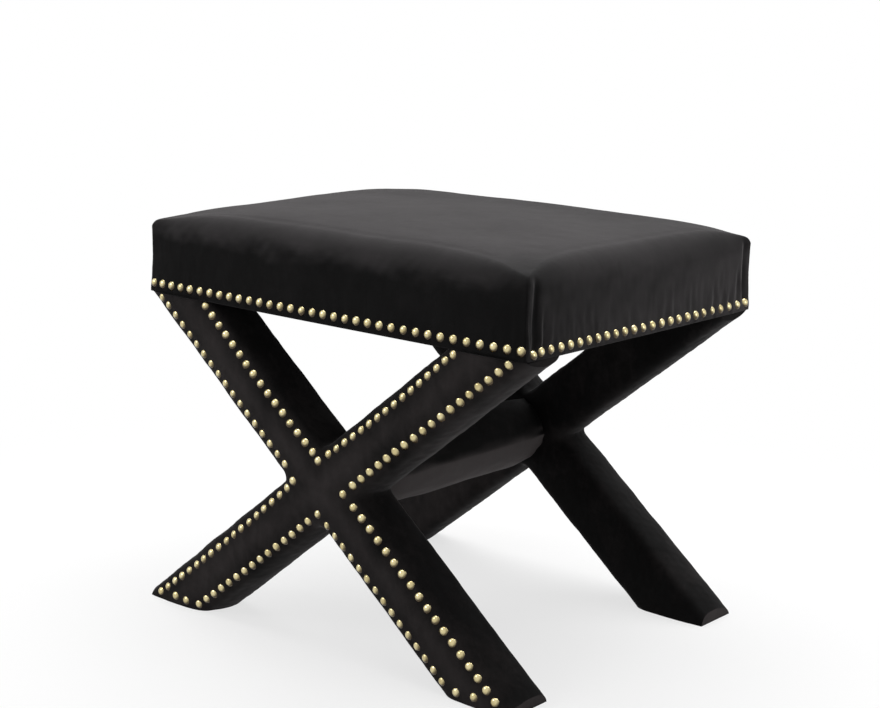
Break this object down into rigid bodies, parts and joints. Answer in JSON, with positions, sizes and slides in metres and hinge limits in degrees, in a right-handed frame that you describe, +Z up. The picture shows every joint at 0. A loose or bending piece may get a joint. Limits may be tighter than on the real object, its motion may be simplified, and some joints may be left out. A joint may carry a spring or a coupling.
{
  "type": "upholstered x frame stool",
  "caption": "Low rectangular stool: crowned upholstered seat on two padded crossed leg frames tied by a padded stretcher, with domed nail trim.",
  "frame": {"origin": "on the floor under the middle of the seat", "axes": "+X along the long nailed front, +Y from front to rear, +Z up"},
  "size_m": [0.61, 0.485, 0.524],
  "materials": {
    "velvet": "matte",
    "brass": "polished",
    "wadding": "matte",
    "foam": "matte",
    "beech": "matte",
    "plywood": "matte",
    "cambric": "matte",
    "steel": "satin"
  },
  "bodies": {
    "root": {"front_leg_core_whole": "beech", "front_leg_core_lapped": "beech", "front_leg_wadding_whole": "wadding", "front_leg_cover_whole": "velvet", "front_leg_wadding_upper": "wadding", "front_leg_cover_upper": "velvet", "front_leg_wadding_lower": "wadding", "front_leg_cover_lower": "velvet", "front_stretcher_bolt": "steel", "front_left_leg_screw_inner": "steel", "front_left_leg_screw_outer": "steel", "front_right_leg_screw_inner": "steel", "front_right_leg_screw_outer": "steel", "nail_front_crossing_left": "brass", "nail_front_crossing_right": "brass", "nail_front_crossing_top": "brass", "nail_front_crossing_bottom": "brass", "nail_seat_front_left": "brass", "corner_block_front_left": "beech", "nail_seat_front_right": "brass", "corner_block_front_right": "beech", "seat_rail_front": "beech", "rear_leg_core_whole": "beech", "rear_leg_core_lapped": "beech", "rear_leg_wadding_whole": "wadding", "rear_leg_cover_whole": "velvet", "rear_leg_wadding_upper": "wadding", "rear_leg_cover_upper": "velvet", "rear_leg_wadding_lower": "wadding", "rear_leg_cover_lower": "velvet", "rear_stretcher_bolt": "steel", "rear_left_leg_screw_inner": "steel", "rear_left_leg_screw_outer": "steel", "rear_right_leg_screw_inner": "steel", "rear_right_leg_screw_outer": "steel", "nail_rear_crossing_left": "brass", "nail_rear_crossing_right": "brass", "nail_rear_crossing_top": "brass", "nail_rear_crossing_bottom": "brass", "nail_seat_rear_left": "brass", "corner_block_rear_left": "beech", "nail_seat_rear_right": "brass", "corner_block_rear_right": "beech", "seat_rail_rear": "beech", "seat_rail_left": "beech", "seat_rail_right": "beech", "stretcher_core": "beech", "stretcher_wadding": "wadding", "stretcher_cover": "velvet", "seat_deck": "plywood", "seat_foam": "foam", "seat_batting": "wadding", "seat_cover": "velvet", "dust_cover": "cambric"}
  },
  "joints": []
}
